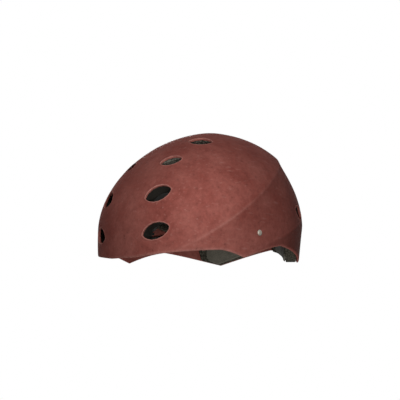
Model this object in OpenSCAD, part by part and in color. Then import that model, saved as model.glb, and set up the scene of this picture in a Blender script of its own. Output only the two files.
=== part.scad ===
// Climbing helmet with a hard shell, foam liner, pads, harness and a nape cradle with a size dial.
// The front faces -Y, the wearer's left is +X, and the rim's low points stand on Z = 0.
// A point on the helmet's wall is given by its turn from the front (degrees, positive towards the
// wearer's left), its level (height) and its inset (depth below the outer face).

/* [Shell] */
// Distance from the crown axis to the brow
front_reach = 131; // [126:0.5:138]
// Distance from the crown axis to the back
rear_reach = 143; // [138:0.5:150]
// Distance from the crown axis to each side
side_reach = 118; // [114:0.5:124]
// Height of the crown above the rim's low points
dome_height = 164; // [158:0.5:172]
// Wall thickness of the shell
shell_wall = 3; // [2:0.25:3.5]
// Height of the widest level
widest_level = 39; // [34:1:44]
// How far the crown sits behind the middle
crown_setback = 15.5; // [12:0.5:19]
// Pull-in of the wall from its widest level to the rim
rim_tuck = 1.4; // [0:0.1:3]

/* [Roundness] */
// Fullness of the plan outline, where 2 is an ellipse
plan_fullness = 2.25; // [2.1:0.05:2.4]
// Fullness of the dome's profile at the front
front_fullness = 1.85; // [1.75:0.05:2]
// Fullness of the dome's profile at the sides
side_fullness = 1.9; // [1.8:0.05:2.05]
// Fullness of the dome's profile at the back
rear_fullness = 2; // [1.9:0.05:2.15]

/* [Creases] */
// Height of the upper crease at the crown axis
upper_crease_level = 86; // [78:1:94]
// Rise of the upper crease for each millimetre towards the back
upper_crease_rise = 0.73; // [0.6:0.01:0.85]
// Draw-in of the wall for each millimetre below the upper crease
upper_crease_slope = 0.4; // [0.1:0.02:0.5]
// Most that the wall is drawn in below the upper crease
upper_crease_depth = 9.5; // [4:0.25:11]
// Height of the lower crease at the crown axis
lower_crease_level = 17.5; // [12:0.5:24]
// Rise of the lower crease for each millimetre towards the back
lower_crease_rise = 0.275; // [0.2:0.005:0.35]
// Draw-in of the wall for each millimetre below the lower crease
lower_crease_slope = 0.11; // [0.05:0.01:0.2]
// Most that the wall is drawn in below the lower crease
lower_crease_depth = 5; // [2:0.25:7]
// Width over which a crease is rounded
crease_softness = 1.2; // [0.6:0.1:4]

/* [Rim] */
// Turn at which the flat brow ends
brow_turn = 9; // [6:0.5:14]
// Turn and height of the temple notch
temple_notch = [56.5, 8.1]; // [4:0.1:60]
// Turn of the pointed lobe in front of the ear
front_lobe_turn = 72; // [68:0.5:76]
// Turn and height of the ear arch
ear_arch = [105.5, 16.2]; // [12:0.1:110]
// Turn of the pointed lobe behind the ear
rear_lobe_turn = 146; // [142:0.5:150]
// Height of the nape notch
nape_notch = 19.5; // [14:0.5:24]

/* [Vents] */
// Brow vent: turn, level, length, width, tilt
brow_vent = [22.3, 29, 35, 19, 15]; // [-20:0.1:150]
// Forehead vent: turn, level, length, width, tilt
forehead_vent = [21.2, 72.6, 33, 21, 18]; // [-20:0.1:150]
// Upper vent: turn, level, length, width, tilt
upper_vent = [21.5, 114.3, 27, 17.5, 12]; // [-20:0.1:150]
// Crown vent: turn, level, length, width, tilt
crown_vent = [37.2, 142.4, 29, 22, -10]; // [-20:0.1:150]
// Rear vent: turn, level, length, width, tilt
rear_vent = [131.5, 61, 32, 17, -8]; // [-20:0.1:150]
// Growth of a vent's size from its inner to its outer end
vent_flare = 2; // [0:0.5:4]

/* [Liner] */
// Thickness of the foam liner
liner_wall = 12; // [10:0.5:14]
// Width over which the liner rounds a crease, on its outer and inner face
liner_softness = [12, 40]; // [8:1:50]
// Height of the liner's lower edge at the brow
liner_edge = 5; // [3:0.5:8]
// Turns between which the liner reaches down to the rim behind the ears
liner_lobe = [136, 170]; // [130:0.5:172]
// Height of the cut-out over the ears
ear_cutout = 52; // [51:0.5:54]
// Height of the notch that leaves room for the dial
dial_notch = 82; // [78:1:90]

/* [Pads] */
// Thickness of a comfort pad
pad_thickness = 6; // [4:0.5:6.5]
// Height of the brow pad's lower and upper edges
brow_pad_levels = [6, 18]; // [4:0.5:20]
// Height of the temple pads' lower and upper edges
temple_pad_levels = [64, 104]; // [60:1:110]
// Depth of the crown pads' lower and upper edges below the crown
crown_pad_depths = [46, 25]; // [22:1:50]
// Thickness of a nape pad
nape_pad_thickness = 4.5; // [4:0.5:5]
// Height of the nape pads' lower edge above the rim, and of their upper edge
nape_pad_levels = [1.2, 37]; // [1:0.1:40]

/* [Harness] */
// Width of the webbing
strap_width = 18; // [15:0.5:20]
// Thickness of the webbing
strap_thickness = 1.6; // [1.2:0.1:2]
// Turn of the front and chin straps
strap_turn = 86; // [84:0.5:88]
// Level at which the straps of one side meet
divider_level = 82; // [78:1:90]
// Length and width of a divider plate
divider_size = [32, 26]; // [24:1:34]
// Thickness of the divider and anchor plates
plate_thickness = 2.6; // [2:0.1:3]
// Turn and level of the rear anchors
rear_anchor = [134, 92]; // [88:1:136]
// Length, width and height of the closed buckle
buckle_size = [56, 26, 8]; // [7:0.5:60]
// Length of the tongue's own part of the buckle
tongue_length = 20; // [18:0.5:22]
// Release travel of the tongue
tongue_travel = 24; // [22:0.5:26]

/* [Side pivot] */
// Turn and level of the side rivet
rivet_place = [82.5, 29.4]; // [28:0.1:84]
// Diameter of the rivet's head
rivet_head_d = 7; // [6:0.25:8]
// Diameter of the rivet's shank
rivet_d = 3.8; // [3:0.1:4.5]
// Diameter of the pivot stud
stud_d = 8; // [7:0.5:9]
// Thickness of the bracket's plate
bracket_wall = 3; // [2.5:0.25:3.5]

/* [Nape cradle] */
// Distance of the adjuster's rack plane behind the crown axis
rack_plane = 89; // [86:0.5:91]
// Height of the dial's axis
dial_level = 52; // [50:0.5:54]
// Length and height of the adjuster's housing
housing_size = [62, 25]; // [24:0.5:64]
// Wall of the housing
housing_wall = 2.5; // [2:0.25:3]
// Diameter of the dial
dial_d = 34; // [30:0.5:36]
// Thickness of the dial
dial_thickness = 9; // [8:0.5:10]
// Diameter of the dial's shaft
shaft_d = 5; // [4:0.25:5.5]
// Number of finger scallops on the dial
scallops = 12; // [8:1:16]
// Height of a cradle arm
arm_height = 11; // [9:0.5:12]
// Thickness of a cradle arm
arm_thickness = 2.4; // [2:0.1:2.8]
// Thickness of the nape cushion
cushion_thickness = 6; // [4:0.5:7]

/* [Rack and pinion] */
// Tooth module
tooth_module = 1.25; // [1.1:0.05:1.3]
// Number of pinion teeth, an even number
pinion_teeth = 8; // [8:2:8]
// Thickness of the racks and the pinion
rack_thickness = 3.4; // [3:0.1:3.6]
// Tooth width as a share of the pitch
tooth_share = 0.36; // [0.3:0.01:0.38]

/* [Clearances] */
// Gap between curved pieces that rest on each other, with room for their facets
seat_gap = 0.75; // [0.6:0.05:0.9]
// Gap between webbing and the plates on it
strap_gap = 0.35; // [0.25:0.05:0.5]
// Radial gap of a shaft in its bore
running_gap = 0.06; // [0.02:0.01:0.1]
// Gap between sliding pieces
sliding_gap = 0.3; // [0.2:0.05:0.4]

/* [Hidden] */

$fn = 48;
sliver = 0.01;
shell_rows = 15;
liner_rows = 15;
rim_clear = 0.8;
strap_bow = 0.45;

// Insets of the layers, counted inwards from the shell's outer face
liner_out = shell_wall + seat_gap;
liner_in = liner_out + liner_wall;
lining = liner_in + seat_gap;
strap_in = lining + strap_thickness;
plate_out = strap_in + strap_gap;

// Rim heights: turn, level and number of columns up to the next entry
rim_keys = [[0, 0, 2], [brow_turn, 0, 7], [temple_notch[0], temple_notch[1], 3], [front_lobe_turn, 0, 6],
    [ear_arch[0], ear_arch[1], 7], [rear_lobe_turn, 0, 7], [180, nape_notch, 0]];
liner_keys = [[0, liner_edge, 7], [44, liner_edge + 3, 5], [70, ear_cutout - 6, 4], [90, ear_cutout, 4],
    [110, ear_cutout - 8, 3], [liner_lobe[0] - 9, ear_cutout - 12, 3], [liner_lobe[0], 0, 6],
    [liner_lobe[1], 0, 3], [liner_lobe[1] + 6, dial_notch, 2], [180, dial_notch, 0]];
all_vents = [brow_vent, forehead_vent, upper_vent, crown_vent, rear_vent];

// Fullness of the dome's profile at one turn
function fullness(turn) =
    side_fullness + ((cos(turn) > 0 ? front_fullness : rear_fullness) - side_fullness) * cos(turn) ^ 2;
// Reach of the plan outline at its widest level
function plan_reach(turn, inset) =
    let(ahead = (cos(turn) > 0 ? front_reach : rear_reach) - inset,
        aside = side_reach - inset,
        sum = (abs(cos(turn)) / ahead) ^ plan_fullness + (abs(sin(turn)) / aside) ^ plan_fullness)
    sum ^ (-1 / plan_fullness);
// How far the wall is drawn in at some depth below a crease
function drawn_in(depth, slope, limit, inset) =
    let(below = (depth + sqrt(depth ^ 2 + softness(inset) ^ 2)) / 2)
    limit * (1 - exp(-below * slope / limit));
// Width over which a crease is rounded: sharp on the shell, softer on the layers inside it
function softness(inset) =
    inset <= shell_wall ? crease_softness : inset < liner_in ? liner_softness[0] : liner_softness[1];
// Reach of the wall from the crown axis: a dome, drawn in below the two creases
function wall_reach(turn, level, inset) =
    let(climb = max(0, min(1, (level - widest_level) / (dome_height - inset - widest_level))),
        full = fullness(turn),
        below = max(0, 1 - level / widest_level),
        dome = plan_reach(turn, inset) * max(0, 1 - climb ^ full) ^ (1 / full) - rim_tuck * below ^ 2,
        ahead = dome * cos(turn),
        upper = upper_crease_level - upper_crease_rise * ahead - level,
        lower = lower_crease_level - lower_crease_rise * ahead - level)
    max(0, dome - drawn_in(upper, upper_crease_slope, upper_crease_depth, inset)
        - drawn_in(lower, lower_crease_slope, lower_crease_depth, inset));
// Distance of the crown axis behind the middle, which grows with the level
function setback(level) = crown_setback * (level / dome_height) ^ 2;
// Place of the crown axis at rim level, which puts the middle of the length at Y = 0
scan_levels = [20:2:90];
axis_y = (max([for (level = scan_levels) wall_reach(0, level, 0) - setback(level)])
    - max([for (level = scan_levels) wall_reach(180, level, 0) + setback(level)])) / 2;
function crown_axis(level) = axis_y + setback(level);
function wall_point(turn, level, inset) =
    let(reach = wall_reach(turn, level, inset))
    [reach * sin(turn), crown_axis(level) - reach * cos(turn), level];
function unit(v) = v / norm(v);
function wall_along(turn, level, inset = 0) =
    unit(wall_point(turn + 1, level, inset) - wall_point(turn - 1, level, inset));
function wall_normal(turn, level, inset = 0) =
    unit(cross(wall_along(turn, level, inset),
        wall_point(turn, level + 1, inset) - wall_point(turn, level - 1, inset)));

// Ease from one key to the next: straight and pointed at low keys, rounded at high ones
function pointed(from, to, share) =
    let(rise = to >= from ? share : 1 - share)
    min(from, to) + abs(to - from) * (rise + sin(90 * rise)) / 2;
function rounded(from, to, share) = from + (to - from) * (1 - cos(180 * share)) / 2;
function half_turns(keys) =
    [for (i = [0:len(keys) - 2], k = [0:keys[i][2] - 1])
        keys[i][0] + (keys[i + 1][0] - keys[i][0]) * k / keys[i][2]];
function all_turns(keys) =
    let(half = half_turns(keys), last = len(half) - 1)
    concat(half, [180], [for (i = [last:-1:1]) -half[i]]);
function key_index(keys, turn, i = 0) =
    i >= len(keys) - 2 || turn <= keys[i + 1][0] ? i : key_index(keys, turn, i + 1);
function key_level(keys, turn, sharp) =
    let(t = abs(turn), i = key_index(keys, t), a = keys[i], b = keys[i + 1],
        share = (t - a[0]) / (b[0] - a[0]))
    sharp ? pointed(a[1], b[1], share) : rounded(a[1], b[1], share);
function rim_level(turn) = key_level(rim_keys, turn, true);
function liner_level(turn) = max(rim_level(turn) + rim_clear, key_level(liner_keys, turn, false));

// Triangles of one four-sided cell on the outer face and on the inner face, layer points later
function two_sided(a, b, c, d, layer) =
    [[a, d, c], [a, c, b], [a + layer, c + layer, d + layer], [a + layer, b + layer, c + layer]];

// Dome-shaped solid between two insets, open below, with its lower edge at edges[i] for turns[i]
module bowl(turns, edges, out, in, rows) {
    count = len(turns);
    layer = rows * count + 1;
    insets = [out, in];
    points = [for (inset = insets)
        let(top = dome_height - inset)
        each concat([for (k = [0:rows - 1], i = [0:count - 1])
            wall_point(turns[i], edges[i] + (top - edges[i]) * sin(90 * k / rows), inset)],
            [[0, crown_axis(top), top]])];
    faces = [for (i = [0:count - 1])
        let(j = (i + 1) % count, low = (rows - 1) * count, pole = rows * count)
        each concat(
            [for (k = [0:rows - 2])
                let(a = k * count + i, b = k * count + j, c = b + count, d = a + count)
                each two_sided(a, b, c, d, layer)],
            [[low + i, pole, low + j], [low + i + layer, low + j + layer, pole + layer],
                [i, j, j + layer], [i, j + layer, i + layer]])];
    polyhedron(points, faces, convexity = 8);
}

// Closed patch: outer(u, v) and inner(u, v) give its two faces for u and v from 0 to 1
module patch(outer, inner, across, up) {
    stride = up + 1;
    layer = (across + 1) * stride;
    points = [for (side = [outer, inner], i = [0:across], j = [0:up]) side(i / across, j / up)];
    walls = [for (i = [0:across - 1], j = [0:up - 1])
        let(a = i * stride + j, b = a + stride, c = b + 1, d = a + 1)
        each two_sided(a, b, c, d, layer)];
    ends = [for (i = [0:across - 1])
        let(a = i * stride, b = a + stride, c = a + up, d = b + up)
        each [[a, b, b + layer], [a, b + layer, a + layer], [d, c, c + layer], [d, c + layer, d + layer]]];
    sides = [for (j = [0:up - 1])
        let(a = j, b = j + 1, c = across * stride + j, d = c + 1)
        each [[b, a, a + layer], [b, a + layer, b + layer], [c, d, d + layer], [c, d + layer, c + layer]]];
    polyhedron(points, concat(walls, ends, sides), convexity = 6);
}

// Share of a cushion's thickness at one place: full in the middle, drawn in at the edges
edge_share = 0.35;
function crowned(u, v) =
    edge_share + (1 - edge_share) * sqrt(max(0, (1 - abs(2 * u - 1) ^ 3) * (1 - abs(2 * v - 1) ^ 3)));
// Narrowing of an outline towards its corners
function trimmed(share, corner) = 0.5 + (share - 0.5) * (1 - corner);
corner_trim = 0.16;
side_draw = 0.03;
function outline_shift(share, other) =
    trimmed(share, corner_trim * abs(2 * other - 1) ^ 5 + side_draw * (1 - (2 * other - 1) ^ 2));

// Padded cushion on the liner, between two turns, with its edges at low(turn) and high(turn)
module wall_cushion(turns, low, high, across, up, thickness = pad_thickness) {
    function place(u, v) =
        let(turn = turns[0] + (turns[1] - turns[0]) * outline_shift(u, v),
            share = outline_shift(v, u))
        [turn, low(turn) + (high(turn) - low(turn)) * share];
    function skin(u, v, inset) =
        let(p = place(u, v))
        wall_point(p[0], p[1], inset);
    patch(function(u, v) skin(u, v, lining),
        function(u, v) skin(u, v, lining + thickness * crowned(u, v)), across, up);
}

// Flat plate that follows the wall between two insets
module wall_plate(turns, levels, insets, across, up) {
    function skin(u, v, inset) =
        wall_point(turns[0] + (turns[1] - turns[0]) * u, levels[0] + (levels[1] - levels[0]) * v, inset);
    patch(function(u, v) skin(u, v, insets[0]), function(u, v) skin(u, v, insets[1]), across, up);
}

// Turn that spans some length along the wall
function turn_over(length, turn, level, inset) = asin(length / wall_reach(turn, level, inset));

// Strip along a curve: centre(u) is its outer face's middle line, outward(u) its outer normal and
// bow the lift of its edges off the wall
module ribbon(centre, outward, width, thickness, steps, bow = 0) {
    function edge(u, v, depth) =
        let(side = unit(cross(outward(u), run_of(centre, u))))
        centre(u) - outward(u) * (depth + bow * (2 * v - 1) ^ 2) + side * width * (v - 0.5);
    patch(function(u, v) edge(u, v, 0), function(u, v) edge(u, v, thickness), steps, 2);
}
function run_of(centre, u) = unit(centre(min(1, u + 0.01)) - centre(max(0, u - 0.01)));

module mirrored(side) {
    mirror([side < 0 ? 1 : 0, 0, 0]) children();
}

// Vents
vent_depth = liner_in + 14;
vent_overshoot = 8;
vent_points = 16;
// Exponent that narrows a vent towards its ends
vent_pinch = 1.3;
module vent_outline(length, width) {
    polygon([for (i = [0:vent_points - 1])
        let(a = 360 * i / vent_points)
        [length / 2 * cos(a), width / 2 * sign(sin(a)) * abs(sin(a)) ^ vent_pinch]]);
}
module vent_cut(vent) {
    out = wall_normal(vent[0], vent[1]);
    level_line = wall_along(vent[0], vent[1]);
    along = level_line * cos(vent[4]) + cross(out, level_line) * sin(vent[4]);
    across = cross(out, along);
    at = wall_point(vent[0], vent[1], 0);
    ends = [[-vent_depth, -vent_flare], [0, 0], [vent_overshoot, 0]];
    multmatrix([for (i = [0:2]) [along[i], across[i], out[i], at[i]]])
        hull()
            for (end = ends)
                translate([0, 0, end[0]])
                    linear_extrude(sliver)
                        vent_outline(vent[2] + end[1], vent[3] + end[1]);
}
module vent_cuts() {
    for (side = [-1, 1], vent = all_vents)
        mirrored(side) vent_cut(vent);
}

// Side pivot: places along the rivet, counted inwards from the shell's outer face
rivet_at = wall_point(rivet_place[0], rivet_place[1], 0);
rivet_head_h = 1.8;
bracket_in = liner_out + bracket_wall;
eye_thickness = 3.2;
eye_wall = 3.4;
eye_gap = 1;
eye_out = bracket_in + eye_gap;
stud_end = eye_out + eye_thickness + sliding_gap;
washer_thickness = 1.3;
washer_d = stud_d + 2.4;
rivet_end = stud_end + washer_thickness;
closed_end_h = 1.2;
// Cylinder on the rivet's axis, from one inset to a deeper one
module on_rivet(from, to, d) {
    translate([rivet_at[0] - to, rivet_at[1], rivet_at[2]])
        rotate([0, 90, 0])
            cylinder(d = d, h = to - from);
}

module outer_shell() {
    turns = all_turns(rim_keys);
    color("#7d403a")
        difference() {
            bowl(turns, [for (t = turns) rim_level(t)], 0, shell_wall, shell_rows);
            vent_cuts();
            for (side = [-1, 1])
                mirrored(side) on_rivet(-vent_overshoot, liner_in, rivet_d + 2 * running_gap);
        }
}

module foam_liner() {
    turns = all_turns(liner_keys);
    color("#42413c")
        difference() {
            bowl(turns, [for (t = turns) liner_level(t)], liner_out, liner_in, liner_rows);
            vent_cuts();
        }
}

// Pads
module padding() {
    color("#4a4842") children();
}
brow_pad_half = 38;
temple_pad_turns = [44, 76];
crown_pad_half = 17;
nape_pad_turns = [liner_lobe[0] + 0.5, liner_lobe[1] - 2];
module brow_pad() {
    padding()
        wall_cushion([-brow_pad_half, brow_pad_half], function(turn) rim_level(turn) + brow_pad_levels[0],
            function(turn) rim_level(turn) + brow_pad_levels[1], 18, 5);
}
module temple_pad(side) {
    padding()
        mirrored(side)
            wall_cushion(temple_pad_turns, function(turn) temple_pad_levels[0],
                function(turn) temple_pad_levels[1], 8, 8);
}
module crown_pad(middle) {
    padding()
        wall_cushion([middle - crown_pad_half, middle + crown_pad_half],
            function(turn) dome_height - crown_pad_depths[0],
            function(turn) dome_height - crown_pad_depths[1], 8, 6);
}
module nape_pad(side) {
    padding()
        mirrored(side)
            wall_cushion(nape_pad_turns, function(turn) rim_level(turn) + nape_pad_levels[0],
                function(turn) nape_pad_levels[1], 12, 8, nape_pad_thickness);
}

// Rivet: a domed head, a shank and a closed end, turned about its axis
head_points = 8;
module side_rivet(side) {
    lift = 0.35;
    closed_d = rivet_head_d - 1;
    length = rivet_end + closed_end_h;
    dome = [for (i = [0:head_points])
        [rivet_head_d / 2 * cos(90 * i / head_points), lift + rivet_head_h * sin(90 * i / head_points)]];
    color("#968f84")
        mirrored(side)
            translate(rivet_at)
                rotate([0, 90, 0])
                    rotate_extrude()
                        polygon(concat([[0, -length], [closed_d / 2, -length], [closed_d / 2, -rivet_end],
                            [rivet_d / 2, -rivet_end], [rivet_d / 2, lift]], dome));
}

module rivet_washer(side) {
    color("#8a867d")
        mirrored(side)
            difference() {
                on_rivet(stud_end, rivet_end, washer_d);
                on_rivet(stud_end - sliver, rivet_end + sliver, rivet_d + 2 * running_gap);
            }
}

// Bracket: plate on the shell's inner face, a pivot stud, and a bridge that the front strap goes under
strap_low = bracket_in + strap_gap;
bridge_out = strap_low + strap_thickness + strap_bow + strap_gap;
bridge_levels = [rivet_place[1] + 9.5, rivet_place[1] + 13];
bridge_thickness = 2;
post_width = 2;
post_root = 0.5;
stud_root = 1;
plate_ahead = 8;
plate_below = 9;
plate_above = 4;
module pivot_bracket(side) {
    half = turn_over(strap_width / 2 + sliding_gap, strap_turn, rivet_place[1], bracket_in);
    post = turn_over(strap_width / 2 + sliding_gap + post_width, strap_turn, rivet_place[1], bracket_in);
    plate_turns = [rivet_place[0] - plate_ahead, strap_turn + post];
    plate_levels = [rivet_place[1] - plate_below, bridge_levels[1] + plate_above];
    color("#26241f")
        mirrored(side)
            difference() {
                union() {
                    wall_plate(plate_turns, plate_levels, [liner_out, bracket_in], 8, 6);
                    on_rivet(liner_out + stud_root, stud_end, stud_d);
                    wall_plate([strap_turn - post, strap_turn + post], bridge_levels,
                        [bridge_out, bridge_out + bridge_thickness], 6, 1);
                    for (end = [[-post, -half], [half, post]])
                        wall_plate([strap_turn + end[0], strap_turn + end[1]], bridge_levels,
                            [bracket_in - post_root, bridge_out + post_root], 1, 1);
                }
                on_rivet(0, rivet_end, rivet_d + 2 * running_gap);
            }
}

// Harness webbing
module webbing() {
    color("#22211e") children();
}
strap_bend = [bridge_levels[1] + 0.8, ear_cutout - 3];
front_strap_low = bridge_levels[0] - 1;
function front_strap_inset(level) =
    strap_low + (lining - strap_low) * (1 - cos(180 * max(0, min(1, (level - strap_bend[0])
        / (strap_bend[1] - strap_bend[0]))))) / 2;
function front_strap_line(u) =
    let(level = front_strap_low + (divider_level - front_strap_low) * u)
    wall_point(strap_turn, level, front_strap_inset(level));
function front_strap_out(u) =
    unit(cross(wall_along(strap_turn, divider_level, lining), run_of(function(s) front_strap_line(s), u)));
module front_strap(side) {
    webbing()
        mirrored(side)
            ribbon(function(u) front_strap_line(u), function(u) front_strap_out(u),
                strap_width, strap_thickness, 20, strap_bow);
}

strap_clear = 0.8;
strap_parting = 4;
rear_strap_start = strap_turn
    + turn_over(strap_width / 2 + strap_parting, strap_turn, divider_level, lining);
function rear_strap_turn(u) = rear_strap_start + (rear_anchor[0] - rear_strap_start) * u;
function rear_strap_level(u) = divider_level + (rear_anchor[1] - divider_level) * u;
module rear_strap(side) {
    webbing()
        mirrored(side)
            ribbon(function(u) wall_point(rear_strap_turn(u), rear_strap_level(u), lining),
                function(u) wall_normal(rear_strap_turn(u), rear_strap_level(u), lining),
                strap_width, strap_thickness, 14, strap_bow);
}

// Chin strap: follows the wall past the divider and then arches to the buckle under the crown
buckle_depth = 41.5;
buckle_level = dome_height - buckle_depth;
buckle_at = [0, crown_axis(buckle_level) + 2, buckle_level];
chin_low = divider_level + strap_clear;
chin_high = divider_level + divider_size[1] / 2 + strap_clear;
chin_wall_share = 0.2;
chin_pull = [10, 20];
chin_from = wall_point(strap_turn, chin_high, lining);
chin_end = [buckle_size[0] / 2 + strap_clear, buckle_at[1], buckle_level + strap_thickness / 2];
chin_up = unit(chin_from - wall_point(strap_turn, chin_low, lining));
function smooth_curve(a, b, c, d, u) =
    a * (1 - u) ^ 3 + b * 3 * u * (1 - u) ^ 2 + c * 3 * u ^ 2 * (1 - u) + d * u ^ 3;
function chin_line(u) =
    u < chin_wall_share
        ? wall_point(strap_turn, chin_low + (chin_high - chin_low) * u / chin_wall_share, lining)
        : smooth_curve(chin_from, chin_from + chin_up * chin_pull[0],
            chin_end + [chin_pull[1], 0, 0], chin_end, (u - chin_wall_share) / (1 - chin_wall_share));
function chin_out(u) =
    unit(cross(wall_along(strap_turn, divider_level, lining) * (1 - u) + [0, 1, 0] * u,
        run_of(function(s) chin_line(s), u)));
module chin_strap(side) {
    webbing()
        mirrored(side)
            ribbon(function(u) chin_line(u), function(u) chin_out(u),
                strap_width, strap_thickness, 20, strap_bow);
}

module harness_plate() {
    color("#1c1b18") children();
}
module divider(side) {
    half = turn_over(divider_size[0] / 2, strap_turn, divider_level, plate_out);
    middle = strap_turn + half / 3;
    harness_plate()
        mirrored(side)
            wall_plate([middle - half, middle + half],
                [divider_level - divider_size[1] / 2, divider_level + divider_size[1] / 2],
                [plate_out, plate_out + plate_thickness], 8, 6);
}
anchor_length = 16;
anchor_edge = 3;
module rear_strap_anchor(side) {
    turn = rear_anchor[0];
    half = turn_over(anchor_length / 2, turn, rear_anchor[1], plate_out);
    rise = strap_width / 2 + anchor_edge;
    levels = [rear_anchor[1] - rise, rear_anchor[1] + rise];
    harness_plate()
        mirrored(side) {
            wall_plate([turn - half, turn + half], levels, [plate_out, plate_out + plate_thickness], 4, 6);
            wall_plate([turn + half / 3, turn + half], levels, [lining, plate_out + sliver], 2, 6);
        }
}

// Buckle: the tongue's prongs sit in the socket and leave it along -X
prong_clear = 4;
prong_reach = tongue_travel - prong_clear;
prong_width = 3.4;
prong_root = 1;
guide_cut = 4;
buckle_corner = 3;
buckle_wall = 2;
socket_length = buckle_size[0] - tongue_length;
socket_mouth = buckle_size[0] / 2 - socket_length;
cavity = [prong_reach + 2, buckle_size[1] - 2 * buckle_wall, buckle_size[2] - 2 * buckle_wall];
module rounded_block(size, radius) {
    translate([0, 0, -size[2] / 2])
        linear_extrude(size[2])
            translate([radius, radius - size[1] / 2])
                offset(radius)
                    square([size[0] - 2 * radius, size[1] - 2 * radius]);
}
module buckle_socket() {
    color("#1c1b18")
        translate(buckle_at + [socket_mouth, 0, 0])
            difference() {
                rounded_block([socket_length, buckle_size[1], buckle_size[2]], buckle_corner);
                translate([-sliver, -cavity[1] / 2, -cavity[2] / 2]) cube(cavity);
            }
}
module buckle_tongue() {
    prong_rise = cavity[2] - 2 * sliding_gap;
    prong_y = cavity[1] / 2 - sliding_gap - prong_width / 2;
    color("#1c1b18")
        translate(buckle_at + [socket_mouth - sliding_gap, 0, 0])
            union() {
                translate([-tongue_length + sliding_gap, 0, 0])
                    rounded_block([tongue_length - sliding_gap, buckle_size[1], buckle_size[2]],
                        buckle_corner);
                for (side = [-1, 1])
                    translate([-prong_root, side * prong_y - prong_width / 2, -prong_rise / 2])
                        cube([prong_reach + prong_root, prong_width, prong_rise]);
                translate([-prong_root, -prong_width, -prong_rise / 2])
                    cube([prong_reach - guide_cut, 2 * prong_width, prong_rise]);
            }
}

// Nape cradle: pieces stand round the rack plane, with the dial's axis along Y
rack_y = rack_plane + axis_y;
pitch_radius = tooth_module * pinion_teeth / 2;
tooth_pitch = PI * tooth_module;
addendum = 0.72 * tooth_module;
dedendum = 0.92 * tooth_module;
tooth_width = tooth_share * tooth_pitch;
rack_back = 3;
root_overlap = 0.3;
rack_slope = 0.45;
pinion_slopes = [0.32, 0.2];
rack_top = pitch_radius + dedendum + rack_back;
channel_depth = rack_thickness + 2 * sliding_gap;
channel_rise = 2 * (rack_top + sliding_gap);
cover_thickness = 2;
rack_inner_end = 16;
teeth_end = 24;
rack_outer_end = housing_size[0] / 2 + 14;
lug_length = 5;
screw_d = 1.8;
screw_head_d = 2.8;
screw_head_h = 1;
screw_x = housing_size[0] / 2 - 4;
screw_z = (channel_rise / 2 + housing_size[1] / 2) / 2;
screw_length = 5;
dial_base = channel_depth / 2 + housing_wall + sliding_gap;
module at_nape() {
    translate([0, rack_y, dial_level]) children();
}
// Extrusion along Y of an outline drawn in X and Z, between two depths behind the rack plane
module slab(from, to) {
    translate([0, to, 0])
        rotate([90, 0, 0])
            linear_extrude(to - from)
                children();
}
// Half the width of a tooth at some height above its pitch line
function tooth_half(height, slope) = tooth_width / 2 - slope * height;
module rack_outline() {
    base = pitch_radius + dedendum;
    tip_level = pitch_radius - addendum;
    root = tooth_half(-dedendum, rack_slope);
    tip = tooth_half(addendum, rack_slope);
    first = ceil(-rack_inner_end / tooth_pitch);
    last = floor(teeth_end / tooth_pitch);
    teeth = [for (k = [first:last])
        let(x = (k + 0.5) * tooth_pitch)
        each [[x - root, base], [x - tip, tip_level], [x + tip, tip_level], [x + root, base]]];
    lug_start = rack_outer_end - lug_length;
    lug_low = -arm_height / 2;
    polygon(concat([[-rack_inner_end, rack_top], [-rack_inner_end, base]], teeth,
        [[lug_start, base], [lug_start, lug_low], [rack_outer_end, lug_low], [rack_outer_end, rack_top]]));
}
module rack(side) {
    color("#d8d4c8")
        at_nape()
            rotate([0, side < 0 ? 180 : 0, 0])
                slab(-rack_thickness / 2, rack_thickness / 2) rack_outline();
}
module pinion_tooth() {
    depth = dedendum + root_overlap;
    tip = tooth_half(addendum, pinion_slopes[0]);
    root = tooth_half(-depth, pinion_slopes[1]);
    polygon([[-root, -depth], [root, -depth], [tip, addendum], [-tip, addendum]]);
}
module drive_pinion() {
    color("#d8d4c8")
        at_nape()
            slab(-rack_thickness / 2, rack_thickness / 2)
                difference() {
                    union() {
                        circle(pitch_radius - dedendum);
                        for (k = [0:pinion_teeth - 1])
                            rotate(360 * k / pinion_teeth)
                                translate([0, pitch_radius]) pinion_tooth();
                    }
                    circle(d = shaft_d + 2 * running_gap);
                }
}
module dial_knob() {
    hub_h = 2;
    scallop_r = 3;
    scallop_depth = 1.4;
    color("#26241f")
        at_nape() {
            difference() {
                slab(dial_base, dial_base + dial_thickness) circle(d = dial_d);
                for (k = [0:scallops - 1])
                    rotate([0, 360 * k / scallops, 0])
                        slab(dial_base - sliver, dial_base + dial_thickness + sliver)
                            translate([dial_d / 2 + scallop_r - scallop_depth, 0]) circle(scallop_r);
                slab(dial_base + dial_thickness - hub_h, dial_base + dial_thickness + sliver)
                    circle(d = dial_d / 2);
            }
            slab(-rack_thickness / 2, dial_base + 1) circle(d = shaft_d);
        }
}
module screw_places() {
    for (x = [-screw_x, screw_x], z = [-screw_z, screw_z])
        translate([x, 0, z]) children();
}
module housing_outline() {
    corner = 4;
    offset(corner) square(housing_size - [2 * corner, 2 * corner], center = true);
}
module nape_housing() {
    color("#26241f")
        at_nape()
            difference() {
                slab(-channel_depth / 2, channel_depth / 2 + housing_wall) housing_outline();
                translate([-housing_size[0], -channel_depth / 2 - sliver, -channel_rise / 2])
                    cube([2 * housing_size[0], channel_depth + sliver, channel_rise]);
                slab(-channel_depth, channel_depth + housing_wall) circle(d = shaft_d + 2 * running_gap);
                screw_places()
                    slab(-channel_depth, screw_length - channel_depth / 2 - cover_thickness)
                        circle(d = screw_d + 2 * running_gap);
            }
}
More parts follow.
